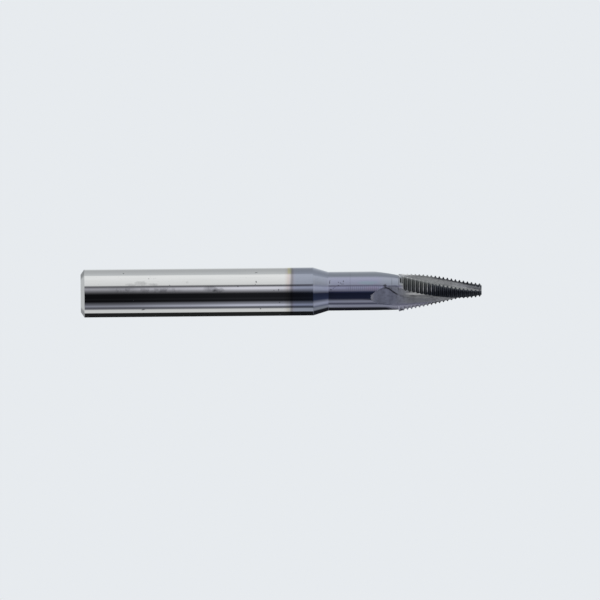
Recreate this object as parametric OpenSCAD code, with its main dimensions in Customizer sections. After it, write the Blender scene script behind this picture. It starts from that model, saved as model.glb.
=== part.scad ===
// Tapered thread mill, ground from one rod of solid carbide.
// A plain shank steps down to a neck, and a tapered head carries rings of V-shaped thread teeth.
// Helical flutes cut the rings into lands, so each land is a row of teeth behind one cutting edge.
// The tool stands on its shank end, with its axis on Z and its cutting tip up.

/* [Shank] */
// Diameter of the shank
shank_d = 6; // [5.6:0.1:12]
// Length of the shank, from its end face to the shoulder
shank_l = 29; // [12:0.1:60]
// Width of the chamfer round the shank's end face
end_chamfer_w = 0.65; // [0.1:0.05:1.5]
// Length of that chamfer along the shank
end_chamfer_l = 0.45; // [0.1:0.05:1.5]

/* [Neck] */
// Diameter of the neck
neck_d = 4.85; // [4.4:0.05:5.2]
// Length of the shoulder cone between the shank and the neck
shoulder_l = 1.9; // [0.5:0.1:6]
// Length of the neck, from the shoulder to the first ring of teeth
neck_l = 8.6; // [5:0.1:30]

/* [Teeth] */
// Number of rings of teeth
rings = 21; // [8:1:26]
// Distance from one ring to the next
pitch = 0.5; // [0.35:0.05:0.6]
// Angle between the two flanks of a tooth
thread_angle = 60; // [50:5:75]
// Width of the flat along the top of a tooth
crest_flat = 0.1; // [0.02:0.01:0.15]
// Width of the flat between two teeth
root_flat = 0.2; // [0.02:0.01:0.25]
// Diameter over the teeth where the head starts
back_d = 5.35; // [5.2:0.05:6]
// Diameter over the teeth at the tip
tip_d = 1.6; // [1.4:0.05:3]

/* [Flutes] */
// Number of flutes, and so of lands
flutes = 3; // [2:1:3]
// Angle that the cutting edges make with the axis
helix_angle = 15; // [0:1:30]
// Where round the axis the first cutting edge starts
start_angle = 260; // [0:5:355]
// Radius of a flute's deepest line, as a share of the radius over the teeth
core_share = 0.55; // [0.4:0.01:0.7]
// Place of a flute's deepest line, from its cutting edge at 0 to its heel side at 1
deepest = 0.65; // [0.45:0.01:0.75]
// Length of neck that the flutes run out on
runout_l = 3.3; // [2:0.1:4]
// Angle at which the flat floor of a run-out sinks into the neck
runout_angle = 12; // [6:1:15]
// Angle round the axis from a cutting edge, where the head starts, to the middle of its run-out
runout_place = 30; // [20:1:40]
// Angle round the axis from the middle of a run-out to each side of its blunt end
runout_end_angle = 8; // [4:1:12]
// Length of neck on which a flute has a wall beside its floor
wall_start_l = 1.5; // [0.5:0.1:2]
// Length over which that wall grows to its full depth
wall_growth_l = 3; // [1.5:0.1:5]
// Step by which the fluted end of the neck is ground below the rest of it
fluted_step = 0.01; // [0.005:0.005:0.1]
// Length by which the fluted end is rooted in the plain neck, and by which it starts before the flutes
fluted_root_l = 0.1; // [0.05:0.05:0.5]

/* [Lands] */
// Width of a land where the head starts
land_back_w = 1.5; // [1:0.1:2]
// Width of a land at the tip
land_tip_w = 0.95; // [0.6:0.05:1.1]
// Angle at which a land falls away behind its cutting edge
relief_angle = 3; // [1:1:10]
// Angle round the axis of the clearance between a land's heel and the flute behind it
heel_angle = 20; // [10:1:25]
// Depth of that clearance below the gaps between the teeth, as a share of the radius over the teeth
heel_share = 0.08; // [0:0.01:0.1]
// Length of neck over which the relief and the heel clearance start
relief_start_l = 2.7; // [0.5:0.1:3.2]

/* [Hidden] */
$fn = 96;

// Radii
shank_r = shank_d / 2;
neck_r = neck_d / 2;
fluted_r = neck_r - fluted_step;
back_r = back_d / 2;
tip_r = tip_d / 2;

// Heights along the axis
shoulder_z = shank_l;
neck_z = shoulder_z + shoulder_l;
teeth_z = neck_z + neck_l;
tip_z = teeth_z + rings * pitch;
runout_z = teeth_z - runout_l;
wall_z = teeth_z - wall_start_l;
plain_neck_z = runout_z - fluted_root_l;
fluted_root_z = plain_neck_z - fluted_root_l;
relief_z = teeth_z - relief_start_l;

// The V form of a tooth
flank_l = (pitch - crest_flat - root_flat) / 2;
tooth_h = flank_l / tan(thread_angle / 2);
first_crest_z = teeth_z + root_flat / 2 + flank_l;

// Steps of the cross-section along one land, wall, corner, floor and heel, and of the run-out
land_steps = 5;
wall_steps = 2;
corner_steps = 3;
floor_steps = 3;
heel_steps = 2;
runout_steps = 14;

// Share of the wall and of the floor that the round between them takes
corner_wall = 0.16;
corner_floor = 0.1;
// Place along the floor where the wall starts, and how the growth of the wall slows down
wall_place = 0.08;
wall_bend = 1.7;
sector = 360 / flutes;
deg_per_rad = 180 / PI;

function mix(a, b, t) = a + (b - a) * t;
function clamp01(t) = max(0, min(1, t));
function head_t(z) = clamp01((z - teeth_z) / (tip_z - teeth_z));

// Radius of the ground surface: the neck behind the teeth, and the cone over the crests from there on
function cone_r(z) = mix(back_r, tip_r, head_t(z));
function body_r(z) = z < teeth_z ? fluted_r : cone_r(z);

// Angle of a cutting edge, which keeps the helix angle on the neck and on the cone
function neck_twist(z) = min(0, z - teeth_z) * tan(helix_angle) / fluted_r;
function cone_twist(z) = tan(helix_angle) * (tip_z - teeth_z) / (back_r - tip_r) * ln(back_r / cone_r(z));
function edge_angle(z) = start_angle + deg_per_rad * (neck_twist(z) + cone_twist(z));

// Angle that a land takes, and its flute between that land and the next one's heel clearance
function land_angle(z) = deg_per_rad * mix(land_back_w, land_tip_w, head_t(z)) / cone_r(z);
function flute_angle(z) = sector - land_angle(z) - heel_angle;

// On the neck a flute has a flat floor, which sinks in steadily and so widens like a leaf
runout_middle = start_angle + runout_place;
function sink(z) = max(0, z - runout_z) * tan(runout_angle);
function leaf_half(z) = max(runout_end_angle, acos(max(-1, 1 - sink(z) / fluted_r)));
function rake_angle(z) = z < teeth_z ? max(edge_angle(z), runout_middle - leaf_half(z)) : edge_angle(z);
function full_back_angle(z) = edge_angle(z) + flute_angle(z);
function leaf_back_angle(z) = min(full_back_angle(z), runout_middle + leaf_half(z));
function back_angle(z) =
    z < teeth_z ? max(leaf_back_angle(z), runout_middle + runout_end_angle) : full_back_angle(z);

// Share of its full depth that the wall behind a cutting edge has
function wall_t(z) = 1 - pow(1 - clamp01((z - wall_z) / wall_growth_l), wall_bend);

// Share of the full relief at a height, how far a land has fallen at its heel, and the clearance behind it
function relief_t(z) = clamp01((z - relief_z) / (teeth_z - relief_z));
function heel_fall(z) = relief_t(z) * land_angle(z) / deg_per_rad * cone_r(z) * tan(relief_angle);
function step_up(z) = z < teeth_z ? back_r - fluted_r : 0;
function heel_depth(z) = relief_t(z) * max(0, tooth_h + heel_fall(z) + heel_share * cone_r(z) - step_up(z));

function on_circle(r, angle) = [r * cos(angle), r * sin(angle)];

// One land, flute and heel clearance, at a height and a depth of tooth.
// A gap between two teeth ends on the straight line of the wall.
function sector_points(z, tooth, turn) =
    let (
        edge = edge_angle(z) + turn,
        heel = edge - land_angle(z),
        rake_a = rake_angle(z) + turn,
        back_a = back_angle(z) + turn,
        land_r = body_r(z) - tooth,
        heel_r = land_r - heel_fall(z),
        clear_r = body_r(z) - heel_depth(z),
        crest = on_circle(body_r(z), rake_a),
        back = on_circle(clear_r, back_a),
        deep = on_circle(core_share * cone_r(z), edge + deepest * flute_angle(z)),
        corner = mix(mix(crest, back, wall_place), deep, wall_t(z)),
        plain_rake = on_circle(land_r, rake_a),
        wall_rake = mix(crest, corner, tooth / body_r(z) / (1 - core_share)),
        rake = z < first_crest_z ? plain_rake : wall_rake,
        wall_end = mix(corner, rake, corner_wall),
        floor_start = mix(corner, back, corner_floor)
    )
    [
        for (i = [0 : land_steps - 1])
            let (t = i / land_steps)
            on_circle(mix(heel_r, land_r, t), mix(heel, rake_a, t)) + (rake - plain_rake) * t,
        for (i = [0 : wall_steps - 1])
            mix(rake, wall_end, i / wall_steps),
        for (i = [0 : corner_steps - 1])
            let (t = i / corner_steps)
            mix(mix(wall_end, corner, t), mix(corner, floor_start, t), t),
        for (i = [0 : floor_steps - 1])
            mix(floor_start, back, i / floor_steps),
        for (i = [0 : heel_steps - 1])
            let (t = i / heel_steps)
            on_circle(mix(clear_r, heel_r, t), mix(back_a, heel + sector, t)),
    ];

function section(level) = [
    for (i = [0 : flutes - 1])
        for (point = sector_points(level[0], level[1], i * sector))
            [point.x, point.y, level[0]]
];

// Heights of the sections, each with the depth of the tooth there
root_level = [fluted_root_z, 0];
runout_levels = [
    for (i = [0 : runout_steps - 1])
        [mix(runout_z, teeth_z, i / runout_steps), 0]
];
tooth_levels = [
    for (i = [0 : rings - 1])
        let (z = teeth_z + i * pitch)
        each [
            i == 0 ? [teeth_z, back_r - fluted_r] : [z + root_flat / 2, tooth_h],
            [z + root_flat / 2 + flank_l, 0],
            [z + root_flat / 2 + flank_l + crest_flat, 0],
            [z + pitch - root_flat / 2, tooth_h],
        ]
];
tip_level = [tip_z, tooth_h];

// Shank, shoulder and the plain part of the neck
module ground_blank() {
    rotate_extrude()
        polygon([
            [0, 0],
            [shank_r - end_chamfer_w, 0],
            [shank_r, end_chamfer_l],
            [shank_r, shoulder_z],
            [neck_r, neck_z],
            [neck_r, plain_neck_z],
            [0, plain_neck_z],
        ]);
}

// Run-out of the flutes and the toothed, fluted head, lofted through its cross-sections
module cutting_head() {
    levels = concat([root_level], runout_levels, tooth_levels, [tip_level]);
    sections = [for (level = levels) section(level)];
    count = len(sections[0]);
    top = (len(sections) - 1) * count;
    sides = [
        for (row = [0 : len(sections) - 2], i = [0 : count - 1])
            let (a = row * count + i, b = row * count + (i + 1) % count)
            each [[a, a + count, b], [b, a + count, b + count]]
    ];
    bottom_cap = [for (i = [0 : count - 1]) i];
    top_cap = [for (i = [count - 1 : -1 : 0]) top + i];
    polyhedron(points = [for (s = sections) each s], faces = concat(sides, [bottom_cap, top_cap]));
}

module thread_mill() {
    color("slategray") {
        ground_blank();
        cutting_head();
    }
}

thread_mill();
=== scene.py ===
import math

import bpy
from mathutils import Matrix, Vector


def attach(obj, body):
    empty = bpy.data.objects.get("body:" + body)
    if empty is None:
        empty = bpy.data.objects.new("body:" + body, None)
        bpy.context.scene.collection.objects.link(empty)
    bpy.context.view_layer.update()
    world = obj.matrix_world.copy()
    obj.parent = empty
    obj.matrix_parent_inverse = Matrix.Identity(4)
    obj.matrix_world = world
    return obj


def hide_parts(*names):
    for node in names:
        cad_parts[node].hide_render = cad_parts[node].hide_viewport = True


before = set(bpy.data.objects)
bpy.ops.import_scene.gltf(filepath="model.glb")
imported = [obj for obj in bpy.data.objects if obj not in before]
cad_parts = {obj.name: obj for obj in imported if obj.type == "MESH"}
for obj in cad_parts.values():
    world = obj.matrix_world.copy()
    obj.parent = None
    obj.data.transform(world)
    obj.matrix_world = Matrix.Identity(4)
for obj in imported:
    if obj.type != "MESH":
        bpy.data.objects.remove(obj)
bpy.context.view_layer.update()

MM = 0.001
RAD = math.pi / 180
# Margin by which heights and shares are compared
TINY = 0.001

# Sizes of the tool, in millimetres and degrees
SHANK_R = 3.0
SHANK_L = 29.0
CHAMFER_W = 0.65
CHAMFER_L = 0.45
SHOULDER_L = 1.9
NECK_R = 2.425
NECK_L = 8.6
NECK_Z = SHANK_L + SHOULDER_L
TEETH_Z = NECK_Z + NECK_L

RINGS = 21
PITCH = 0.5
THREAD_ANGLE = 60
CREST_FLAT = 0.1
ROOT_FLAT = 0.2
BACK_R = 2.675
TIP_R = 0.8
TIP_Z = TEETH_Z + RINGS * PITCH
FLANK_L = (PITCH - CREST_FLAT - ROOT_FLAT) / 2
TOOTH_H = FLANK_L / math.tan(THREAD_ANGLE / 2 * RAD)
FIRST_CREST_Z = TEETH_Z + ROOT_FLAT / 2 + FLANK_L

FLUTES = 3
HELIX = 15
START_ANGLE = 260
RUNOUT_L = 3.3
RUNOUT_Z = TEETH_Z - RUNOUT_L
LEAF_MIDDLE = START_ANGLE + 30
LEAF_ANGLE = 12
LEAF_TIP_ANGLE = 8
CORNER_Z = TEETH_Z - 1.5
CORNER_L = 3.0
CORNER_SHARE = 0.65
CORE_SHARE = 0.55
LAND_BACK_W = 1.5
LAND_TIP_W = 0.95
RELIEF_ANGLE = 3
RELIEF_Z = TEETH_Z - 2.7
HEEL_ANGLE = 20
HEEL_SHARE = 0.08

# Height at which the hard coating of the front ends
COATING_Z = 26.2


class Value:
    """A socket of a node tree that takes part in Python expressions."""

    def __init__(self, tree, socket):
        self.tree = tree
        self.socket = socket

    def maths(self, operation, *others):
        inputs = dict(enumerate((self,) + others))
        return self.tree.node("ShaderNodeMath", inputs, operation=operation)

    def __add__(self, other):
        return self.maths("ADD", other)

    __radd__ = __add__

    def __sub__(self, other):
        return self.maths("SUBTRACT", other)

    def __rsub__(self, other):
        return self.tree.node("ShaderNodeMath", {0: other, 1: self}, operation="SUBTRACT")

    def __mul__(self, other):
        return self.maths("MULTIPLY", other)

    __rmul__ = __mul__

    def __truediv__(self, other):
        return self.maths("DIVIDE", other)

    def __rtruediv__(self, other):
        return self.tree.node("ShaderNodeMath", {0: other, 1: self}, operation="DIVIDE")

    def __neg__(self):
        return self.maths("MULTIPLY", -1.0)

    def __pow__(self, other):
        return self.maths("POWER", other)

    def __gt__(self, other):
        return self.maths("GREATER_THAN", other)

    def __lt__(self, other):
        return self.maths("LESS_THAN", other)

    def most(self, other):
        return self.maths("MINIMUM", other)

    def least(self, other):
        return self.maths("MAXIMUM", other)

    def sin(self):
        return self.maths("SINE")

    def cos(self):
        return self.maths("COSINE")

    def share(self):
        return self.tree.node("ShaderNodeClamp", {"Value": self})

    def ramp(self, low, high):
        """0 below low and 1 above high, with a straight rise between them."""
        return self.tree.node(
            "ShaderNodeMapRange", {"Value": self, "From Min": low, "From Max": high}, clamp=True
        )

    def smooth(self, low, high):
        """0 below low and 1 above high, with a soft rise between them."""
        return self.tree.node(
            "ShaderNodeMapRange",
            {"Value": self, "From Min": low, "From Max": high},
            interpolation_type="SMOOTHSTEP",
        )

    def near(self, middle, reach):
        """1 at a middle value, which falls softly to 0 at a reach on each side of it."""
        return 1 - (self - middle).maths("ABSOLUTE").smooth(0.0, reach)


class Tree:
    """A node tree, and the one way in which nodes are added to it."""

    def __init__(self, tree):
        self.tree = tree

    def node(self, kind, inputs=None, output=0, stops=None, **settings):
        made = self.tree.nodes.new(kind)
        for name, value in settings.items():
            setattr(made, name, value)
        if stops:
            ramp = made.color_ramp
            while len(ramp.elements) < len(stops):
                ramp.elements.new(1.0)
            for element, (place, colour) in zip(ramp.elements, stops):
                element.position = place
                element.color = (*colour, 1.0)
        for name, value in (inputs or {}).items():
            self.feed(made.inputs[name], value)
        return Value(self, made.outputs[output])

    def feed(self, socket, value):
        if isinstance(value, Value):
            self.tree.links.new(value.socket, socket)
        elif socket.type == "RGBA":
            socket.default_value = (*value, 1.0)
        else:
            socket.default_value = value

    def mix(self, a, b, t):
        return a + (b - a) * t

    def mix_colour(self, a, b, t, blend_type="MIX"):
        inputs = {0: t, 6: a, 7: b}
        return self.node(
            "ShaderNodeMix", inputs, output=2, data_type="RGBA", blend_type=blend_type
        )

    def brighten(self, colour, factor):
        return self.node("ShaderNodeVectorMath", {0: colour, "Scale": factor}, operation="SCALE")

    def vector(self, x, y, z):
        return self.node("ShaderNodeCombineXYZ", {"X": x, "Y": y, "Z": z})

    def split(self, vector):
        made = self.tree.nodes.new("ShaderNodeSeparateXYZ")
        self.feed(made.inputs[0], vector)
        return [Value(self, socket) for socket in made.outputs]

    def angle_from_front(self, x, y):
        """Degrees from the front of the tool, which is its -Y side, towards its -X side."""
        return self.node("ShaderNodeMath", {0: -x, 1: -y}, operation="ARCTAN2") / RAD


def made_material(name, shader_of):
    """A material whose surface is the shader that a function makes in its node tree."""
    material = bpy.data.materials.new(name)
    material.use_nodes = True
    tree = material.node_tree
    tree.nodes.clear()
    shader = shader_of(Tree(tree))
    out = tree.nodes.new("ShaderNodeOutputMaterial")
    tree.links.new(shader.socket, out.inputs["Surface"])
    return material


class Point:
    """A point of a cross-section, as two values that are worked with together."""

    def __init__(self, x, y):
        self.x = x
        self.y = y

    def __add__(self, other):
        return Point(self.x + other.x, self.y + other.y)

    def __sub__(self, other):
        return Point(self.x - other.x, self.y - other.y)

    def __mul__(self, t):
        return Point(self.x * t, self.y * t)

    def towards(self, other, t):
        return self + (other - self) * t


def on_circle(radius, angle):
    return Point(radius * angle.cos(), radius * angle.sin())


# Numbers of a sector's points along its land, wall, corner, floor and heel clearance
LAND_POINTS = 20
WALL_POINTS = 12
CORNER_POINTS = 8
FLOOR_POINTS = 20
HEEL_POINTS = 12
SECTOR_POINTS = LAND_POINTS + WALL_POINTS + CORNER_POINTS + FLOOR_POINTS + HEEL_POINTS
# Share of the wall and of the floor that the rounded corner takes
CORNER_WALL = 0.16
CORNER_FLOOR = 0.1
# Place of the corner on the floor where the flute has no wall yet, and how its growth slows down
CORNER_START = 0.03
CORNER_BEND = 1.7
# Share of a land, from its heel to its cutting edge, over which the first gap closes
CLOSING = (0.3, 0.7)
# Length along the head at which the shade of the first gap starts, its slant over a land, and its edge
WEDGE_START = 0.25
WEDGE_SLANT = 0.25
WEDGE_EDGE = (-0.03, 0.04)
# Shade of a heel beside a gap
HEEL_SHADE = 0.8
# Lengths along the head between which the shade passes from the gaps to the teeth
SHADE_PASSES = (4.5, 5.6)
# Shares of a heel over which it darkens there, in the gaps and on the teeth
HEEL_DARKENS = (0.5, 0.8)
POINT_DARKENS = (-0.1, 0.4)


def flute_tree(material):
    """Node tree that grinds the flutes, the teeth and their relief into the turned blank."""
    tree = bpy.data.node_groups.new("grind_flutes_and_teeth", "GeometryNodeTree")
    face = tree.interface
    face.new_socket("Geometry", in_out="INPUT", socket_type="NodeSocketGeometry")
    face.new_socket("Geometry", in_out="OUTPUT", socket_type="NodeSocketGeometry")
    sizes = {
        "Flutes": FLUTES,
        "Helix": HELIX * RAD,
        "Start Angle": START_ANGLE * RAD,
        "Teeth Height": TEETH_Z,
        "Tip Height": TIP_Z,
        "Back Radius": BACK_R,
        "Tip Radius": TIP_R,
        "Neck Radius": NECK_R,
        "Tooth Depth": TOOTH_H,
        "Pitch": PITCH,
        "First Crest Height": FIRST_CREST_Z,
        "Runout Height": RUNOUT_Z,
        "Leaf Middle": LEAF_MIDDLE * RAD,
        "Leaf Slope": math.tan(LEAF_ANGLE * RAD),
        "Corner Height": CORNER_Z,
        "Corner Length": CORNER_L,
        "Corner Share": CORNER_SHARE,
        "Core Share": CORE_SHARE,
        "Land Back Width": LAND_BACK_W,
        "Land Tip Width": LAND_TIP_W,
        "Relief Height": RELIEF_Z,
        "Relief Slope": math.tan(RELIEF_ANGLE * RAD),
        "Heel Angle": HEEL_ANGLE * RAD,
        "Heel Share": HEEL_SHARE,
    }
    for name in sizes:
        face.new_socket(name, in_out="INPUT", socket_type="NodeSocketFloat")
    t = Tree(tree)
    group = tree.nodes.new("NodeGroupInput")
    size = {name: Value(t, group.outputs[name]) for name in sizes}

    def attribute(name):
        return t.node("GeometryNodeInputNamedAttribute", {"Name": name}, data_type="FLOAT")

    turn = attribute("turn")
    body_r = attribute("ground_r")
    z = attribute("height")

    # Where the cross-section lies, and where a point lies in its sector
    cut_z = z.least(size["Runout Height"])
    head_l = size["Tip Height"] - size["Teeth Height"]
    head = ((z - size["Teeth Height"]) / head_l).share()
    cone_r = t.mix(size["Back Radius"], size["Tip Radius"], head)
    lead = size["Helix"].maths("TANGENT")
    neck_twist = (cut_z - size["Teeth Height"]).most(0.0) * lead / size["Neck Radius"]
    taper = head_l / (size["Back Radius"] - size["Tip Radius"])
    cone_twist = lead * taper * (size["Back Radius"] / cone_r).maths("LOGARITHM", math.e)
    sector = 2 * math.pi / size["Flutes"]
    place = turn * size["Flutes"]
    number = place.maths("FLOOR")
    along = (place - number) * SECTOR_POINTS

    def piece(first, count):
        return ((along - first) / count).share()

    start = 0
    parts = []
    for count in (LAND_POINTS, WALL_POINTS, CORNER_POINTS, FLOOR_POINTS, HEEL_POINTS):
        parts.append(piece(start, count))
        start += count
    on_land, on_wall, in_corner, on_floor, on_heel = parts

    # The first gap between the teeth closes towards the cutting edge
    past_first = z > size["First Crest Height"] - TINY
    past_second = z > size["First Crest Height"] + size["Pitch"] - TINY
    first_gap = past_first * (1 - past_second)
    closed = first_gap * on_land.ramp(*CLOSING) * (1 - (on_heel > TINY))
    tooth_share = attribute("tooth") * (1 - closed)
    tooth = tooth_share * size["Tooth Depth"]
    edge = size["Start Angle"] + neck_twist + cone_twist + number * sector
    land_angle = t.mix(size["Land Back Width"], size["Land Tip Width"], head) / cone_r
    flute_angle = sector - land_angle - size["Heel Angle"]

    # The leaf-shaped end of a flute on the neck
    middle = size["Leaf Middle"] + number * sector
    sink = (cut_z - size["Runout Height"]) * size["Leaf Slope"]
    toothed = z > size["Teeth Height"] - TINY
    half = (1 - sink / size["Neck Radius"]).least(-1.0).maths("ARCCOSINE")
    half = half.least(LEAF_TIP_ANGLE * RAD) + toothed * math.pi
    rake_angle = edge.least(middle - half)
    back_angle = (edge + flute_angle).most(middle + half)
    cut = z > size["Runout Height"] - TINY

    # Relief of the land and clearance behind its heel
    relief = ((z - size["Relief Height"]) / (size["Teeth Height"] - size["Relief Height"])).share()
    heel_fall = relief * land_angle * cone_r * size["Relief Slope"]
    step_up = (1 - toothed) * (size["Back Radius"] - size["Neck Radius"])
    heel_depth = relief * (size["Tooth Depth"] + heel_fall + size["Heel Share"] * cone_r - step_up)
    land_r = body_r - tooth
    heel_r = land_r - heel_fall
    clear_r = body_r - heel_depth
    heel_angle = edge - land_angle

    # Points that the cross-section runs through
    corner_s = ((z - size["Corner Height"]) / size["Corner Length"]).share()
    corner_t = 1 - (1 - corner_s) ** CORNER_BEND
    crest = on_circle(body_r, rake_angle)
    back = on_circle(clear_r, back_angle)
    shallow = crest.towards(back, CORNER_START)
    deep = on_circle(cone_r * size["Core Share"], edge + flute_angle * size["Corner Share"])
    corner = shallow.towards(deep, corner_t)
    # A gap between two teeth ends on the straight line of the wall
    plain_rake = on_circle(land_r, rake_angle)
    wall_rake = crest.towards(corner, tooth / (body_r * (1 - size["Core Share"])))
    rake = plain_rake.towards(wall_rake, past_first)
    wall_foot = corner.towards(rake, CORNER_WALL)
    floor_start = corner.towards(back, CORNER_FLOOR)

    land = on_circle(t.mix(heel_r, land_r, on_land), t.mix(heel_angle, rake_angle, on_land))
    land = land + (rake - plain_rake) * on_land
    next_heel = heel_angle + sector
    heel = on_circle(t.mix(clear_r, heel_r, on_heel), t.mix(back_angle, next_heel, on_heel))
    bend = wall_foot.towards(corner, in_corner).towards(
        corner.towards(floor_start, in_corner), in_corner
    )
    fluted = (
        land
        + (wall_foot - rake) * on_wall
        + (bend - wall_foot)
        + (back - floor_start) * on_floor
        + (heel - back)
    )

    # Below the flutes the section is a plain circle
    flute_points = WALL_POINTS + CORNER_POINTS + FLOOR_POINTS
    in_flute = piece(LAND_POINTS, flute_points)
    round_angle = (
        t.mix(heel_angle, rake_angle, on_land)
        + (back_angle - rake_angle) * in_flute
        + (next_heel - back_angle) * on_heel
    )
    plain = on_circle(body_r, round_angle)
    ground = plain.towards(fluted, cut)
    position = t.vector(ground.x * MM, ground.y * MM, z * MM)

    # Masks that the finish reads: the flutes, the painted shade between the teeth and the painted shade
    # in the flutes' corners
    flute_mask = cut * (in_flute > TINY) * (in_flute < 1 - TINY)
    land_mask = 1 - (in_flute > TINY)
    heel_mask = in_flute > 1 - TINY
    wedge_z = size["Teeth Height"] + WEDGE_START + on_land * WEDGE_SLANT
    wedge = (z - wedge_z).ramp(*WEDGE_EDGE)
    shade = attribute("shade") * past_first * (1 - closed) * t.mix(1, wedge, first_gap)
    back_shade = shade * land_mask.least(heel_mask * on_heel * HEEL_SHADE)
    # Towards the tip the whole land takes painted shade, and its teeth reach on over the heel as points
    # of painted shade
    on_tooth = 1 - tooth_share
    points = on_tooth * on_heel.ramp(*POINT_DARKENS)
    tip_heel = heel_mask * on_heel.ramp(*HEEL_DARKENS).least(points)
    tipward = (z - size["Teeth Height"]).ramp(*SHADE_PASSES)
    gap_shade_mask = t.mix(back_shade, land_mask.least(tip_heel), tipward)
    corner_shade_mask = cut * 4 * in_corner * (1 - in_corner)

    geometry = Value(t, group.outputs["Geometry"])
    geometry = t.node("GeometryNodeSetPosition", {"Geometry": geometry, "Position": position})
    for name, mask in (("flute", flute_mask), ("gap", gap_shade_mask), ("corner", corner_shade_mask)):
        geometry = t.node(
            "GeometryNodeStoreNamedAttribute",
            {"Geometry": geometry, "Name": name, "Value": mask},
            data_type="FLOAT",
            domain="POINT",
        )
    geometry = t.node("GeometryNodeSetShadeSmooth", {"Geometry": geometry})
    geometry = t.node("GeometryNodeRealizeInstances", {"Geometry": geometry})
    geometry = t.node(
        "GeometryNodeSetMaterial", {"Geometry": geometry, "Material": material}
    )
    out = tree.nodes.new("NodeGroupOutput")
    tree.links.new(geometry.socket, out.inputs[0])
    return tree, sizes


# Rounding of the turned edges, and steps of the blank along its length
EDGE_ROUND = 0.03
EDGE_MARGIN = 0.02
ROUND_STEPS = 4
NECK_STEPS = 5
LEAF_STEPS = 60
FLANK_STEPS = 3
# Radius of the innermost ring of the end face
END_RING_R = 1.2
# Heights between which the neck's own steps lie
NECK_STEPS_FROM = NECK_Z + 0.1
NECK_STEPS_TO = RUNOUT_Z - 0.05
# Shade at the foot and on the flank of a tooth's light side, on its crest and at the crest's end
FOOT_SHADE = 0.8
FLANK_SHADE = 0.4
CREST_SHADE = 0.3
CREST_END_SHADE = 0.9


def rounded(corner, before, after):
    """Stations of a small round that replaces a corner of the blank's outline."""
    corner, before, after = Vector(corner), Vector(before), Vector(after)
    back = (before - corner).normalized()
    forth = (after - corner).normalized()
    reach = EDGE_ROUND + EDGE_MARGIN
    made = [corner + back * reach]
    for step in range(ROUND_STEPS + 1):
        s = step / ROUND_STEPS
        made.append(corner + back * EDGE_ROUND * (1 - s) ** 2 + forth * EDGE_ROUND * s * s)
    made.append(corner + forth * reach)
    return [(point.x, point.y, 0.0, 0.0) for point in made]


def blank_stations():
    """Outline of the blank, from end face to tip: radius, height, and shares of tooth and shade."""
    outline = [
        (0.0, 0.0),
        (SHANK_R - CHAMFER_W, 0.0),
        (SHANK_R, CHAMFER_L),
        (SHANK_R, SHANK_L),
        (NECK_R, NECK_Z),
        (NECK_R, RUNOUT_Z),
    ]
    stations = [(END_RING_R, 0.0, 0.0, 0.0)]
    for before, corner, after in zip(outline, outline[1:], outline[2:]):
        stations += rounded(corner, before, after)
    for step in range(1, NECK_STEPS + 1):
        z = NECK_STEPS_FROM + (NECK_STEPS_TO - NECK_STEPS_FROM) * step / NECK_STEPS
        stations.append((NECK_R, z, 0.0, 0.0))
    for step in range(LEAF_STEPS):
        stations.append((NECK_R, RUNOUT_Z + RUNOUT_L * step / LEAF_STEPS, 0.0, 0.0))

    def add(z, tooth, shade):
        cone = BACK_R + (TIP_R - BACK_R) * (z - TEETH_Z) / (TIP_Z - TEETH_Z)
        stations.append((cone, z, tooth, shade))

    # The flank that faces the shank is light, and the far half of a tooth is in shade with the gap.
    # The far side of the first gap is all light.
    for ring in range(RINGS):
        z = TEETH_Z + ring * PITCH
        rise = z + ROOT_FLAT / 2
        crest = rise + FLANK_L
        fall = crest + CREST_FLAT
        first = 1.0
        if ring == 0:
            first = (BACK_R - NECK_R) / TOOTH_H
            add(z, first, 0.0)
        shaded = 0.0 if ring == 1 else 1.0
        add(rise, first, FOOT_SHADE * shaded)
        for step in range(1, FLANK_STEPS):
            s = step / FLANK_STEPS
            add(rise + FLANK_L * s, first * (1 - s), FLANK_SHADE * shaded * (1 - s) ** 2)
        add(crest, 0.0, 0.0)
        add(crest + CREST_FLAT / 2, 0.0, CREST_SHADE)
        add(fall, 0.0, CREST_END_SHADE)
        for step in range(1, FLANK_STEPS):
            s = step / FLANK_STEPS
            add(fall + FLANK_L * s, s, 1.0)
        add(fall + FLANK_L, 1.0, 1.0)
    add(TIP_Z, 1.0, 1.0)
    return stations


def turned_blank():
    """The blank as a plain mesh whose points know where they lie, and their tooth and shade."""
    stations = blank_stations()
    around = FLUTES * SECTOR_POINTS
    points, faces = [], []
    values = {"turn": [], "height": [], "ground_r": [], "tooth": [], "shade": []}

    def add(turn, r, z, tooth, shade):
        angle = 2 * math.pi * turn
        points.append((r * math.cos(angle) * MM, r * math.sin(angle) * MM, z * MM))
        for name, value in zip(values, (turn, z, r, tooth, shade)):
            values[name].append(value)

    for station in stations:
        for i in range(around):
            add(i / around, *station)
    rows = len(stations)
    for row in range(rows - 1):
        for i in range(around):
            a, b = row * around + i, row * around + (i + 1) % around
            faces.append((a, b, b + around, a + around))
    foot, top = len(points), len(points) + 1
    add(0.0, 0.0, 0.0, 0.0, 0.0)
    add(0.0, 0.0, TIP_Z, 0.0, 0.0)
    last = (rows - 1) * around
    for i in range(around):
        j = (i + 1) % around
        faces.append((j, i, foot))
        faces.append((last + i, last + j, top))
    mesh = bpy.data.meshes.new("thread_mill_blank")
    mesh.from_pydata(points, [], faces)
    for name, column in values.items():
        mesh.attributes.new(name, "FLOAT", "POINT").data.foreach_set("value", column)
    return mesh, list(values)


# Edges sharper than this stay crisp
CRISP_ANGLE = 22


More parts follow.
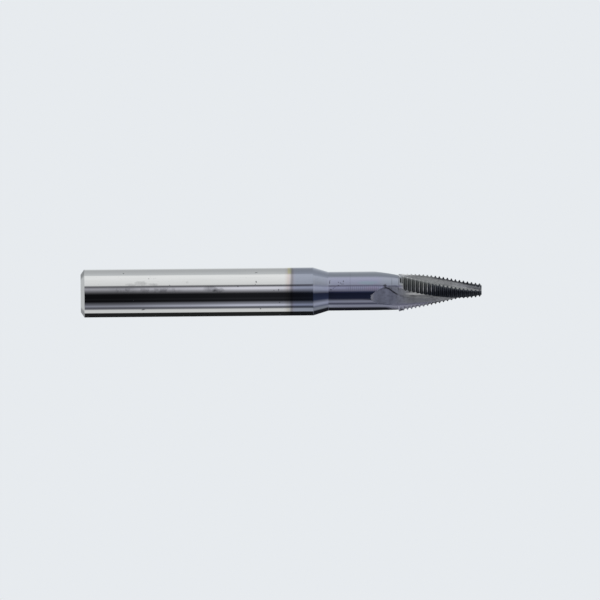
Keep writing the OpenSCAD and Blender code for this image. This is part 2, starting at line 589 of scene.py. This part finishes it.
def thread_mill(material):
    """The tool: a turned blank with the flutes and teeth ground into it."""
    blank_mesh, blank_attributes = turned_blank()
    blank = bpy.data.objects.new("thread_mill_body", blank_mesh)
    bpy.context.scene.collection.objects.link(blank)
    tree, sizes = flute_tree(material)
    grind = blank.modifiers.new("grind", "NODES")
    grind.node_group = tree
    for item in tree.interface.items_tree:
        if item.in_out == "INPUT" and item.name in sizes:
            grind[item.identifier] = float(sizes[item.name])
    ready = blank.evaluated_get(bpy.context.evaluated_depsgraph_get())
    mesh = bpy.data.meshes.new_from_object(ready)
    blank.modifiers.remove(grind)
    blank.data = mesh
    mesh.name = "thread_mill_body"
    for name in blank_attributes:
        mesh.attributes.remove(mesh.attributes[name])
    mesh.set_sharp_from_angle(angle=CRISP_ANGLE * RAD)
    return blank


# Colours of the finishes and of painted light and shade
BARE = (0.66, 0.665, 0.665)
COATED = (0.30, 0.325, 0.395)
TEMPER = [
    (0.0, BARE),
    (0.25, BARE),
    (0.38, (0.63, 0.61, 0.60)),
    (0.51, (0.585, 0.53, 0.515)),
    (0.57, (0.55, 0.505, 0.515)),
    (0.63, (0.45, 0.43, 0.44)),
    (0.69, (0.29, 0.275, 0.29)),
    (0.755, (0.25, 0.248, 0.28)),
    (0.86, (0.31, 0.32, 0.39)),
    (1.0, COATED),
]
STRAW = (1.03, 1.08, 0.74)
DULL = (0.92, 0.99, 0.97)
VIOLET = (0.30, 0.31, 0.41)
ASH = (0.30, 0.33, 0.365)
TEAL = (0.25, 0.35, 0.39)
MAUVE = (0.33, 0.27, 0.37)
STEELY = (0.28, 0.285, 0.285)
# Light grey of painted edge highlights and of the lighter flute walls towards the tip
LIGHT_GREY = (0.6, 0.61, 0.62)
PALE_VIOLET = (0.5, 0.5, 0.6)
# Light colour of the polished leaf ends and of painted highlights
POLISH_AND_HIGHLIGHT = (0.92, 0.92, 0.9)
GROUND = (0.33, 0.335, 0.34)
FLOOR = (0.47, 0.475, 0.48)
LEAF = (0.37, 0.385, 0.47)
# Painted shade between the teeth, deeper towards the tip
GAP_SHADE = (0.085, 0.09, 0.09)
DEEP_GAP_SHADE = (0.06, 0.066, 0.078)
# Near-black of dark marks and of painted shade
DARK_MARK_AND_SHADE = (0.05, 0.05, 0.06)

# Soft patches of finish, of painted light and of painted shade: height, angle from the front, length in
# millimetres, width in degrees
TEAL_CLOUD = (35.8, 25.0, 1.5, 8.0)
MAUVE_CLOUD = (36.3, 7.0, 1.2, 8.0)
NECK_SCUFF = (39.1, 10.0, 1.0, 8.0)
# A painted highlight on a flute's floor
FLOOR_HIGHLIGHT = (41.9, -14.0, 1.7, 9.0)
# Painted shade on a flute's floor
FLOOR_SHADE = (41.5, -28.0, 0.7, 8.0)
# Painted light on the heels on the +X side of the front
LIT_HEEL_PATCH = (41.4, -68.0, 3.6, 38.0)
# Distance between the grinding lines on the neck, and the heights of two that stand out
TICK_PITCH = 0.25
LONG_TICK_Z = 33.62
FRONT_TICK_Z = 38.8
# Heights between which a finish, a painted shade or a lighter wall comes in or goes out softly, from
# the shank to the tip
BEADS_IN = (4.0, 5.0)
BEADS_OUT = (11.0, 13.0)
TICKS_IN = (32.8, 33.6)
LEAF_END_OUT = (36.3, 36.7)
ASH_IN = (36.8, 38.0)
TICKS_OUT = (37.0, 38.0)
SHADE_STRIP_IN = (40.5, 41.5)
DEEP_GAP_SHADE_IN = (42.5, 44.0)
WIDE_SHADE_STRIP_IN = (43.0, 44.6)
LIGHT_WALL_IN = (45.5, 48.5)
# Middle and reach, along the tool, of the painted highlights on the far wall and on the crests
FAR_WALL_HIGHLIGHT = (TEETH_Z + 0.8, 2.4)
CREST_HIGHLIGHTS = (42.9, 2.1)

# Smudges on the bare shank, as the patches above, with their darkness
SMUDGES = [
    (7.5, 23.0, 1.0, 8.0, 0.25),
    (6.2, 20.0, 0.8, 4.0, 0.22),
    (9.0, 20.0, 0.8, 4.0, 0.24),
    (13.3, 26.0, 0.25, 4.0, 0.15),
    (16.2, 8.0, 1.1, 9.0, 0.38),
    (17.2, 5.0, 0.9, 6.0, 0.34),
    (5.2, 9.0, 2.2, 8.0, 0.12),
    (10.6, 5.0, 2.4, 6.0, 0.12),
]
# Pits on the shank and the neck, as the patches above
PITS = [
    (8.5, 34.3, 0.10, 2.2),
    (5.35, 55.5, 0.12, 2.5),
    (11.1, 18.5, 0.12, 1.6),
    (21.9, 53.3, 0.22, 1.8),
    (21.9, 25.0, 0.14, 2.4),
    (21.8, 19.0, 0.08, 1.4),
    (19.6, 13.4, 0.10, 2.2),
    (24.1, 3.5, 0.10, 1.6),
    (24.7, 4.2, 0.08, 1.8),
    (22.4, -44.0, 0.12, 2.4),
    (24.8, -25.7, 0.10, 1.8),
    (7.8, -43.9, 0.3, 2.0),
    (31.05, 24.5, 0.08, 3.0),
    (32.15, 17.3, 0.12, 1.6),
    (32.75, 22.0, 0.08, 2.4),
    (31.7, 12.5, 0.14, 1.4),
    (31.2, 4.0, 0.10, 3.2),
    (31.5, 8.5, 0.09, 1.6),
    (32.15, 26.5, 0.09, 3.0),
    (32.77, 30.5, 0.1, 2.0),
    (31.1, 34.0, 0.07, 2.5),
    (31.05, 29.5, 0.07, 4.5),
    (32.4, 24.5, 0.09, 2.2),
    (32.58, 21.5, 0.1, 2.2),
    (37.95, 15.5, 0.28, 5.0),
]


class Surface:
    """Places, masks and noises on the tool's surface that its finishes are made from."""

    def __init__(self, t):
        self.t = t
        self.coordinates = t.node("ShaderNodeTexCoord", output=3)
        self.x, self.y, self.along = t.split(self.coordinates)
        self.z = self.along / MM
        self.angle = t.angle_from_front(self.x, self.y)
        # Distance from the axis, as a share of the radius over the teeth
        radius = (self.x * self.x + self.y * self.y) ** 0.5 / MM
        taper = (TIP_R - BACK_R) / (TIP_Z - TEETH_Z)
        self.depth = radius / (BACK_R + taper * (self.z - TEETH_Z).least(0.0))
        self.head = self.z.smooth(FIRST_CREST_Z - 0.2, FIRST_CREST_Z + 0.6)
        self.flute = self.attribute("flute")
        self.gap = self.attribute("gap")
        self.corner = self.attribute("corner")
        self.cloud = self.noise(700.0)
        self.grain = self.noise(5200.0)
        self.mottle = self.noise(2300.0, 3.0).smooth(0.45, 0.65)
        self.wavy_z = self.z + (self.noise(3000.0) - 0.5) * 0.35
        self.wavy_angle = self.angle + (self.noise(2600.0) - 0.5) * 9

    def attribute(self, name):
        return self.t.node("ShaderNodeAttribute", attribute_name=name, output=2)

    def noise(self, scale, detail=2.0, vector=None):
        inputs = {"Vector": vector or self.coordinates, "Scale": scale, "Detail": detail}
        return self.t.node("ShaderNodeTexNoise", inputs)

    def stretched(self, across, lengthwise):
        return self.t.vector(self.x * across, self.y * across, self.along * lengthwise)

    def patch(self, place):
        """1 in the middle of a soft oval patch with a wavy edge, and 0 outside it."""
        return self.oval(self.wavy_z, place)

    def oval(self, z, place):
        """The same at heights that are given, so that a pit can have a finer edge."""
        height, turn, length, width = place[:4]
        reach = ((z - height) / length) ** 2 + ((self.wavy_angle - turn) / width) ** 2
        return 1 - reach.smooth(0.15, 1.0)


def tempered(s):
    """Bare carbide that runs through temper colours into the coating, straw above and duller below."""
    t = s.t
    edge_z = s.z + (s.cloud - 0.5) * 0.2 + 0.08 * (1 - s.angle.smooth(5, 25))
    fade = edge_z.ramp(COATING_Z - 1.3, COATING_Z + 0.7)
    finish = t.node("ShaderNodeValToRGB", {"Fac": fade}, stops=TEMPER)
    band = fade.smooth(0.3, 0.5) * (1 - fade.smooth(0.62, 0.75))
    straw = band * fade.smooth(0.42, 0.52) * s.angle.smooth(44, 52)
    finish = t.mix_colour(finish, STRAW, straw, "MULTIPLY")
    dull = band * (1 - s.angle.smooth(-5, 20))
    return t.mix_colour(finish, DULL, dull, "MULTIPLY")


def clouded(s, finish):
    """Violet, ash, teal and mauve clouds in the coating, which is greyer on the head."""
    t = s.t
    violet = (s.z.smooth(NECK_Z - 1, NECK_Z + 1) * (0.6 + s.cloud * 0.8)).share()
    finish = t.mix_colour(finish, VIOLET, violet)
    by_flute = s.z.smooth(*ASH_IN) * s.angle.smooth(12, 20) * 0.7
    ash = violet * s.angle.smooth(40, 54).least(by_flute) * 0.8
    finish = t.mix_colour(finish, ASH, ash)
    finish = t.mix_colour(finish, TEAL, s.patch(TEAL_CLOUD) * 0.45)
    finish = t.mix_colour(finish, MAUVE, s.patch(MAUVE_CLOUD) * 0.4)
    return t.mix_colour(finish, STEELY, s.head)


def neck_lines(s, finish):
    """Grinding lines round the neck, and painted highlights on the edges at both ends of the shoulder.
    """
    ticks = (s.z / TICK_PITCH).maths("FRACT").near(0.5, 0.4)
    ticks = ticks * s.angle.near(9, 12) * (0.8 + s.cloud * 2)
    ticks = ticks * s.z.smooth(*TICKS_IN) * (1 - s.z.smooth(*TICKS_OUT))
    long_tick = s.z.near(LONG_TICK_Z, 0.07) * s.angle.smooth(0, 8)
    front_tick = s.z.near(FRONT_TICK_Z, 0.1) * s.angle.near(25, 24)
    ticks = ticks + long_tick + (front_tick + s.patch(NECK_SCUFF)) * 2
    finish = s.t.mix_colour(finish, DARK_MARK_AND_SHADE, ticks * 0.18 * (1 - s.flute))
    # Painted highlights along the edges at both ends of the shoulder, towards the front
    shoulder_edge_highlight = s.z.near(SHANK_L + 0.1, 0.16) * 0.1 + s.z.near(NECK_Z - 0.04, 0.1) * 0.16
    shoulder_edge_highlight = shoulder_edge_highlight * s.angle.near(18, 32)
    return s.t.mix_colour(finish, LIGHT_GREY, shoulder_edge_highlight * (0.4 + s.grain * 1.2))


def ground_flutes(s, finish):
    """Ground floors and walls of the flutes, with a light end of each leaf."""
    t = s.t
    ground = t.mix_colour(FLOOR, GROUND, s.angle.smooth(10, 45))
    ground = t.mix_colour(LEAF, ground, s.z.smooth(TEETH_Z - 1, TEETH_Z + 2))
    # The flute walls turn light grey towards the tip, more than 30 degrees from the front towards -X
    ground = t.mix_colour(ground, LIGHT_GREY, s.z.smooth(*LIGHT_WALL_IN) * s.angle.smooth(10, 30))
    finish = t.mix_colour(finish, ground, s.flute)
    grit = s.grain.smooth(0.45, 0.8) * 0.25 + s.mottle * 0.2
    finish = t.mix_colour(finish, DARK_MARK_AND_SHADE, s.flute * grit)
    leaf_end = s.flute * (1 - s.z.smooth(*LEAF_END_OUT)) * (0.1 + s.grain * 0.35)
    return t.mix_colour(finish, POLISH_AND_HIGHLIGHT, leaf_end)


def painted_highlights_and_shade(s, finish):
    """Painted highlights on a flute's floor, the crests, the first flank and the far wall, and painted
    shade on the far wall towards its teeth.
    """
    # Painted highlights: a patch on a flute's floor, the far wall, the crests towards the front, and
    # the first flank
    floor = s.patch(FLOOR_HIGHLIGHT) * s.flute * 0.8
    far_wall_highlight = s.depth.smooth(0.76, 0.95) * s.angle.near(122, 40) * s.z.near(*FAR_WALL_HIGHLIGHT)
    crest = s.depth.smooth(0.94, 0.98) * (1 - s.flute) * s.z.near(*CREST_HIGHLIGHTS)
    crest = crest * s.angle.smooth(-40, -20) * 0.5
    first_flank_highlight = s.z.near(TEETH_Z + 0.15, 0.08) * (1 - s.flute) * 0.8
    bright = (floor + far_wall_highlight + crest) * s.head + first_flank_highlight
    finish = s.t.mix_colour(finish, POLISH_AND_HIGHLIGHT, bright.share())
    # Painted shade along the far wall of the flutes towards its teeth
    far_wall_shade = s.depth.near(0.83, 0.09) * s.z.smooth(*SHADE_STRIP_IN) * 0.3
    far_wall_shade = far_wall_shade.least(s.depth.smooth(0.7, 0.88) * s.z.smooth(*WIDE_SHADE_STRIP_IN))
    return s.t.mix_colour(finish, DARK_MARK_AND_SHADE, far_wall_shade * s.flute * s.angle.smooth(30, 50))


def shaded(s, finish, heel, painted_gap_shade):
    """Painted light on the heels, painted shade in the gaps between the teeth, and painted shade in the
    corner of a flute on the neck.
    """
    t = s.t
    # Painted light on the heels on the +X side of the front
    finish = t.mix_colour(finish, PALE_VIOLET, heel * 0.9)
    gap_shade_colour = t.mix_colour(GAP_SHADE, DEEP_GAP_SHADE, s.z.smooth(*DEEP_GAP_SHADE_IN))
    # Painted shade in the gaps between the teeth
    finish = t.mix_colour(finish, gap_shade_colour, painted_gap_shade)
    # Painted shade in the corner of each flute on the neck, and a patch of painted shade on a flute's
    # floor
    in_neck = s.z.smooth(CORNER_Z - 0.3, CORNER_Z)
    in_neck = in_neck * (1 - 0.75 * s.z.smooth(TEETH_Z - 0.4, TEETH_Z + 0.2))
    corner = s.corner * in_neck * (1 - s.z.smooth(TEETH_Z + 1.5, TEETH_Z + 2.5))
    corner = corner + s.patch(FLOOR_SHADE) * s.flute * 0.35
    return t.mix_colour(finish, DARK_MARK_AND_SHADE, corner.share())


def smudges(s):
    """How dark the handling marks and the row of beads on the shank are."""
    smudge = 0.0
    for place in SMUDGES:
        smudge = s.patch(place) * place[4] + smudge
    beads = s.noise(1900.0, 2.0, s.stretched(0.5, 1.0)).smooth(0.42, 0.56)
    beads = beads * s.angle.near(6, 9) * s.z.smooth(*BEADS_IN) * (1 - s.z.smooth(*BEADS_OUT))
    return beads * 0.34 + smudge


def marked(s, finish, smudge):
    """Handling marks, pits, fine specks and lengthwise streaks."""
    pit = 0.0
    for place in PITS:
        pit = s.oval(s.z + (s.grain - 0.5) * 0.1, place) + pit
    streak = s.noise(6000.0, 3.0, s.stretched(1.0, 0.03))
    speck = s.grain.smooth(0.72, 0.8) * 0.35 + streak.smooth(0.5, 0.75) * 0.06
    mark = smudge * (0.4 + s.grain * 1.2) + pit.share() * 0.75 + speck * (1 - s.flute)
    return s.t.mix_colour(finish, DARK_MARK_AND_SHADE, mark.share())


def carbide(t):
    """Carbide that is bare and bright on the shank and coated violet-grey on the neck and head."""
    s = Surface(t)
    # Painted light on the heels on the +X side of the front
    heel = s.patch(LIT_HEEL_PATCH) * s.depth.smooth(0.7, 0.8)
    # Painted shade in the gaps between the teeth, weaker where the heel has painted light
    painted_gap_shade = s.gap.smooth(0.08, 0.5) * (1 - 0.85 * heel)
    smudge = smudges(s)
    finish = clouded(s, tempered(s))
    finish = neck_lines(s, finish)
    finish = painted_highlights_and_shade(s, ground_flutes(s, finish))
    finish = shaded(s, finish, heel, painted_gap_shade)
    finish = marked(s, finish, smudge)
    coated = s.z.smooth(COATING_Z - 0.1, COATING_Z + 0.3)
    roughness = 0.035 + coated * 0.015 + s.cloud * 0.02 + smudge * 0.1
    roughness = roughness + s.flute * 0.55 + (heel + painted_gap_shade) * 0.4
    ring_lines = s.noise(9000.0, 2.0, s.stretched(0.04, 1.0))
    height = ring_lines * 0.2 + s.grain * (0.3 + s.flute)
    bump = t.node(
        "ShaderNodeBump", {"Strength": 0.02, "Distance": 0.01 * MM, "Height": height}
    )
    return t.node(
        "ShaderNodeBsdfPrincipled",
        {"Base Color": finish, "Metallic": 1.0, "Roughness": roughness, "Normal": bump},
    )


# Brightness and tint of the light tent by the angle round the tool, in degrees from its front
NEUTRAL = (0.99, 1.0, 1.0)
COOL = (0.97, 1.0, 1.02)
LILAC = (0.97, 0.97, 1.07)
BLUISH = (0.93, 0.96, 1.14)
DEEP = (0.8, 1.0, 1.75)
SHANK_BANDS = [
    (-180, 0.02, COOL),
    (-113, 0.02, COOL),
    (-109, 0.86, NEUTRAL),
    (-90, 0.84, NEUTRAL),
    (-82, 0.15, BLUISH),
    (-74, 0.15, BLUISH),
    (-69, 0.46, BLUISH),
    (-64, 0.5, BLUISH),
    (-59, 0.26, BLUISH),
    (-48, 0.1, BLUISH),
    (-43, 0.01, BLUISH),
    (-37, 0.01, BLUISH),
    (-31, 0.018, BLUISH),
    (-24, 0.01, BLUISH),
    (-6, 0.01, BLUISH),
    (0, 0.1, LILAC),
    (9, 0.34, LILAC),
    (17, 0.66, LILAC),
    (22, 0.62, LILAC),
    (28, 0.17, LILAC),
    (32, 0.17, LILAC),
    (37, 0.92, NEUTRAL),
    (58, 1.03, NEUTRAL),
    (82, 1.12, NEUTRAL),
    (91, 1.08, NEUTRAL),
    (94, 0.76, COOL),
    (111, 0.64, COOL),
    (132, 0.56, COOL),
    (146, 0.62, COOL),
    (156, 0.9, COOL),
    (180, 0.9, COOL),
]
NECK_BANDS = [
    (-180, 0.02, COOL),
    (-119, 0.03, BLUISH),
    (-112, 0.45, NEUTRAL),
    (-98, 0.66, NEUTRAL),
    (-91, 0.55, NEUTRAL),
    (-84, 0.18, BLUISH),
    (-78, 0.18, BLUISH),
    (-71, 0.5, NEUTRAL),
    (-64, 0.62, NEUTRAL),
    (-57, 0.4, NEUTRAL),
    (-50, 0.12, LILAC),
    (-45, 0.04, DEEP),
    (-12, 0.03, DEEP),
    (-5, 0.08, DEEP),
    (0, 0.32, LILAC),
    (5, 0.48, LILAC),
    (14, 0.63, LILAC),
    (21, 0.76, LILAC),
    (27, 0.62, LILAC),
    (31, 0.4, LILAC),
    (34, 0.4, LILAC),
    (39, 0.78, COOL),
    (46, 0.82, COOL),
    (60, 0.94, COOL),
    (80, 1.08, NEUTRAL),
    (89, 1.0, NEUTRAL),
    (95, 0.74, COOL),
    (106, 0.64, COOL),
    (130, 0.7, COOL),
    (156, 0.9, COOL),
    (180, 0.9, COOL),
]
# At the top of the tent the bands run into one another
TOP_BANDS = [
    (-180, 0.03, COOL),
    (-116, 0.04, COOL),
    (-108, 0.6, NEUTRAL),
    (-98, 0.56, NEUTRAL),
    (-86, 0.36, BLUISH),
    (-78, 0.72, LILAC),
    (-70, 0.85, LILAC),
    (-58, 0.46, LILAC),
    (-46, 0.08, DEEP),
    (-12, 0.05, DEEP),
    (-3, 0.36, LILAC),
    (10, 0.8, LILAC),
    (22, 0.92, LILAC),
    (31, 0.62, LILAC),
    (42, 0.76, NEUTRAL),
    (64, 0.95, NEUTRAL),
    (85, 1.08, NEUTRAL),
    (95, 0.76, COOL),
    (130, 0.6, COOL),
    (155, 0.9, COOL),
    (180, 0.9, COOL),
]
# Heights in metres between which the bands of the shank pass to those of the neck, and on to the top
NECK_PASS = (0.0298, 0.0312)
TOP_PASS = (0.11, 0.16)
# Change of the narrow lights beside the front: at the shank's end, then between pairs of heights
BESIDE_END = -0.32
BESIDE_STEPS = [(0.004, 0.013, 0.38), (0.013, 0.021, 0.42), (0.025, 0.027, -0.2)]
# Light from below, for the head: its tint, its last angles, its first heights, and its slanted top edge
UNDER = (0.42, 0.43, 0.5)
UNDER_TURN = (-116, -110)
UNDER_Z = (0.055, 0.075)
UNDER_SLANT = 0.00111
UNDER_TOP = (0.2337, 0.2417)
# The plain lower part, its darker back, and the heights where the bands start in front and behind
BEHIND = (110, 150)
DARK_BACK_Z = (-0.3, -0.18)
FRONT_START = (-0.12, -0.05)
BACK_START = (-0.03, -0.01)
PLAIN = (0.68, 0.7, 0.71)
SHADED = (0.34, 0.35, 0.36)
TENT_R = 0.3
TENT_H = 0.45
TENT_STEPS = 180
PALE = (0.80, 0.83, 0.86)
SKY = (0.3, 0.3, 0.3)


def tent_glow(t):
    """Light and dark bands round the tool, over a plain lower part."""
    x, y, z = t.split(t.node("ShaderNodeTexCoord", output=3))
    angle = t.angle_from_front(x, y)

    def bands(levels):
        stops = [
            ((turn + 180) / 360, tuple(level * part for part in tint))
            for turn, level, tint in levels
        ]
        return t.node("ShaderNodeValToRGB", {"Fac": angle.ramp(-180, 180)}, stops=stops)

    by_neck = z.smooth(*NECK_PASS)
    colour = t.mix_colour(bands(SHANK_BANDS), bands(NECK_BANDS), by_neck)
    colour = t.mix_colour(colour, bands(TOP_BANDS), z.smooth(*TOP_PASS))
    behind = angle.maths("ABSOLUTE").smooth(*BEHIND)
    plain = t.mix_colour(PLAIN, SHADED, behind * z.smooth(*DARK_BACK_Z))
    upper = t.mix(z.smooth(*FRONT_START), z.smooth(*BACK_START), behind)
    colour = t.mix_colour(plain, colour, upper)
    under = (1 - angle.smooth(*UNDER_TURN)) * z.smooth(*UNDER_Z)
    under = under * (1 - (z - angle * UNDER_SLANT).smooth(*UNDER_TOP))
    colour = t.mix_colour(colour, UNDER, under)
    # The narrow lights beside the front are brighter towards the head
    beside = angle.smooth(-78, -72) * (1 - angle.smooth(25, 28)) * (1 - by_neck)
    rise = BESIDE_END
    for low_z, high_z, change in BESIDE_STEPS:
        rise = z.smooth(low_z, high_z) * change + rise
    return t.node("ShaderNodeEmission", {"Color": t.brighten(colour, 1 + rise * beside)})


def base_glow(t):
    return t.node("ShaderNodeEmission", {"Color": PLAIN})


def seen_ray(t):
    """1 for light that the camera sees straight, or in metal or glass."""
    path = t.tree.nodes.new("ShaderNodeLightPath")
    kinds = ("Is Camera Ray", "Is Glossy Ray", "Is Transmission Ray")
    straight, glossy, through = (Value(t, path.outputs[kind]) for kind in kinds)
    return straight.least(glossy).least(through)


def floor_paint(t):
    """Pale paint that glows a little for the camera and still takes the tool's shadow."""
    paint = t.node("ShaderNodeBsdfDiffuse", {"Color": PALE})
    glow = t.node("ShaderNodeEmission", {"Color": PALE})
    return t.node("ShaderNodeMixShader", {0: seen_ray(t) * 0.6, 1: paint, 2: glow})


def stage_mesh(name, points, faces, material):
    mesh = bpy.data.meshes.new(name)
    mesh.from_pydata(points, [], faces)
    mesh.materials.append(material)
    made = bpy.data.objects.new(name, mesh)
    bpy.context.scene.collection.objects.link(made)
    return made


def stage_square(name, reach, z, material):
    corners = [(-reach, -reach), (reach, -reach), (reach, reach), (-reach, reach)]
    return stage_mesh(name, [(x, y, z) for x, y in corners], [(0, 1, 2, 3)], material)


def light_tent():
    points = []
    for i in range(TENT_STEPS):
        angle = 2 * math.pi * i / TENT_STEPS
        for z in (-TENT_H, TENT_H):
            points.append((TENT_R * math.cos(angle), TENT_R * math.sin(angle), z))
    count = len(points)
    faces = [(i, i + 1, (i + 3) % count, (i + 2) % count) for i in range(0, count, 2)]
    tent = stage_mesh("light_tent", points, faces, made_material("tent_glow", tent_glow))
    tent.visible_camera = False
    base = stage_square("tent_base", TENT_R, -TENT_H, made_material("base_glow", base_glow))
    base.visible_camera = False


# Half the width of the floor, and its height just below the tool, in metres
FLOOR_REACH = 1.5
FLOOR_Z = -0.00002


def pale_floor():
    paint = made_material("floor_paint", floor_paint)
    floor = stage_square("pale_floor", FLOOR_REACH, FLOOR_Z, paint)
    floor.visible_glossy = False
    floor.visible_shadow = False


def pale_world():
    world = bpy.data.worlds.new("pale_studio")
    world.use_nodes = True
    tree = world.node_tree
    tree.nodes.clear()
    t = Tree(tree)
    shader = t.node("ShaderNodeBackground", {"Color": t.mix_colour(SKY, PALE, seen_ray(t))})
    out = tree.nodes.new("ShaderNodeOutputWorld")
    tree.links.new(shader.socket, out.inputs["Surface"])
    bpy.context.scene.world = world


# Width and height of the lamp above the tool, in metres, and its power in watts
LAMP_W = 0.5
LAMP_Z = 0.6
LAMP_POWER = 1.5


def overhead_lamp():
    lamp = bpy.data.lights.new("overhead_softbox", "AREA")
    lamp.size = LAMP_W
    lamp.energy = LAMP_POWER
    made = bpy.data.objects.new("overhead_softbox", lamp)
    made.location = (0.0, 0.0, LAMP_Z)
    made.visible_glossy = False
    bpy.context.scene.collection.objects.link(made)


# Framing of the photograph: its width in pixels, its scale, the height on the tool at its middle,
# how many pixels the axis lies above its middle, the tool's tilt, and the camera's distance in metres
PIXELS = 600
PIXELS_PER_MM = 8.018
AIM_Z = 27.35
AXIS_ABOVE_CENTRE = 8.5
TILT = 0.53
CAMERA_FAR = 0.2


def photo_camera():
    camera = bpy.data.cameras.new("photo_camera")
    camera.type = "ORTHO"
    camera.ortho_scale = PIXELS / PIXELS_PER_MM * MM
    made = bpy.data.objects.new("photo_camera", camera)
    c, s = math.cos(TILT * RAD), math.sin(TILT * RAD)
    right = Vector((s, 0.0, c))
    up = Vector((-c, 0.0, s))
    back = Vector((0.0, -1.0, 0.0))
    aim = Vector((0.0, 0.0, AIM_Z * MM)) - up * (AXIS_ABOVE_CENTRE / PIXELS_PER_MM * MM)
    place = aim + back * CAMERA_FAR
    made.matrix_world = Matrix(
        (
            (right.x, up.x, back.x, place.x),
            (right.y, up.y, back.y, place.y),
            (right.z, up.z, back.z, place.z),
            (0, 0, 0, 1),
        )
    )
    bpy.context.scene.collection.objects.link(made)
    bpy.context.scene.camera = made


bpy.context.scene.view_settings.view_transform = "Standard"
photo_camera()
pale_world()
pale_floor()
light_tent()
overhead_lamp()

tool = thread_mill(made_material("ground_carbide", carbide))
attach(tool, "root")
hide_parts("thread_mill")
